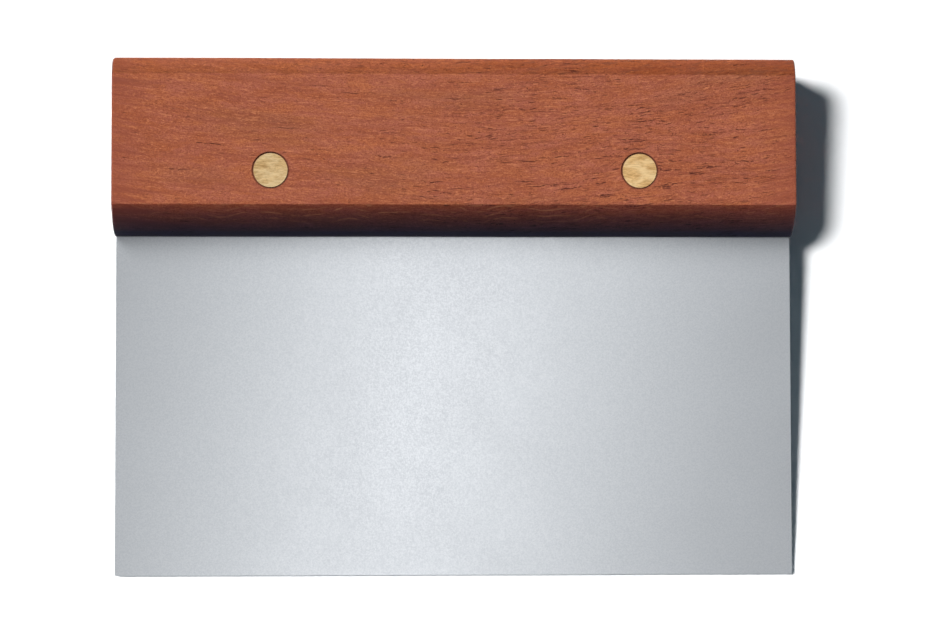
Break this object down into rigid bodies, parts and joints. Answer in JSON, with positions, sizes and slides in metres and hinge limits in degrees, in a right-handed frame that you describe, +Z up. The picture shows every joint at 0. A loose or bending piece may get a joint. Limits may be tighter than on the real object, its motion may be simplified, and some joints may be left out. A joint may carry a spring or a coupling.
{
  "type": "bench scraper",
  "caption": "Bench scraper: a flat straight-edged steel blade set in a kerf along a bevelled wooden handle and held by flush brass compression rivets.",
  "frame": {"origin": "bottom centre of the lying scraper's box: middle of its width and of its depth, at the surface it lies on", "axes": "+X along the scraping edge and the handle, +Y from the scraping edge towards the handle, +Z up from the surface; the scraper lies on its rear face, with its edge and the crease of the handle's rear face on Z = 0, so that the blade rises by 6.1 degrees towards the handle"},
  "size_m": [0.1532, 0.1162, 0.022],
  "materials": {
    "steel": "fine satin, slightly cool grey stainless steel",
    "wood": "oiled reddish-brown hardwood with fine straight grain and open dark pores",
    "brass": "pale brass ground flush with faint straight scratches"
  },
  "bodies": {
    "root": {"blade": "steel", "handle": "wood", "rivet_left_female": "brass", "rivet_left_male": "brass", "rivet_right_female": "brass", "rivet_right_male": "brass"}
  },
  "joints": []
}
